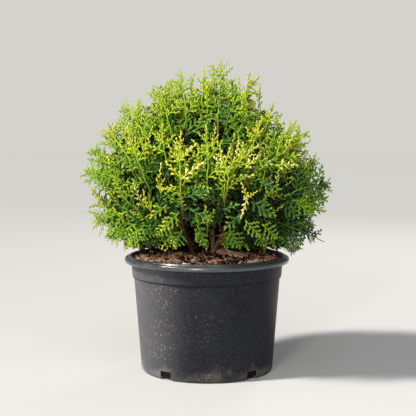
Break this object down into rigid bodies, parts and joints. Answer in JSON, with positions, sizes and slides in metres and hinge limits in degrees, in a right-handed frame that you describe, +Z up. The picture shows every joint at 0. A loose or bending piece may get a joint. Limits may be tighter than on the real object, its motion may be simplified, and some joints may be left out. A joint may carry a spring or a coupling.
{
  "type": "potted thuja",
  "caption": "Globe-shaped evergreen shrub with flat lacy sprays on several stems, in bark mulch, standing in a round tapered plastic nursery pot.",
  "frame": {"origin": "centre of the pot's flat underside, at the level that the pot stands on", "axes": "+Z up along the pot's axis, -Y towards the front of the plant, +X to the right seen from the front"},
  "size_m": [0.548, 0.5264, 0.6735],
  "materials": {
    "pot": "charcoal black moulded polypropylene, matt, dusty and scuffed",
    "potting_mix": "moist dark bark and peat mix",
    "bark_mulch": "rough brown bark chips",
    "bark_slab": "one larger weathered piece of bark",
    "bark": "thin reddish brown bark in fine ridges",
    "foliage": "scale leaves, fresh green with golden tips, satin",
    "twigs": "young shoots, golden brown"
  },
  "bodies": {
    "root": {"pot": "pot", "potting_mix": "potting_mix", "bark_mulch": "bark_mulch", "bark_slab": "bark_slab", "stem_centre": "bark", "stem_front_left": "bark", "stem_front_right": "bark", "stem_back_right": "bark", "stem_back_left": "bark", "bough_low_1": "bark", "bough_low_2": "bark", "bough_low_3": "bark", "bough_low_4": "bark", "bough_low_5": "bark", "bough_low_6": "bark", "bough_wide_1": "bark", "bough_wide_2": "bark", "bough_wide_3": "bark", "bough_wide_4": "bark", "bough_wide_5": "bark", "bough_wide_6": "bark", "bough_shoulder_3": "bark", "bough_upper_1": "bark", "bough_upper_2": "bark", "bough_upper_3": "bark", "foliage_low_1": "foliage", "foliage_low_2": "foliage", "foliage_low_3": "foliage", "foliage_low_4": "foliage", "foliage_low_5": "foliage", "foliage_low_6": "foliage", "foliage_wide_1": "foliage", "foliage_wide_2": "foliage", "foliage_wide_3": "foliage", "foliage_wide_4": "foliage", "foliage_wide_5": "foliage", "foliage_wide_6": "foliage", "foliage_shoulder_1": "foliage", "foliage_shoulder_2": "foliage", "foliage_shoulder_3": "foliage", "foliage_shoulder_4": "foliage", "foliage_shoulder_5": "foliage", "foliage_upper_1": "foliage", "foliage_upper_2": "foliage", "foliage_upper_3": "foliage", "foliage_top_1": "foliage"}
  },
  "joints": []
}
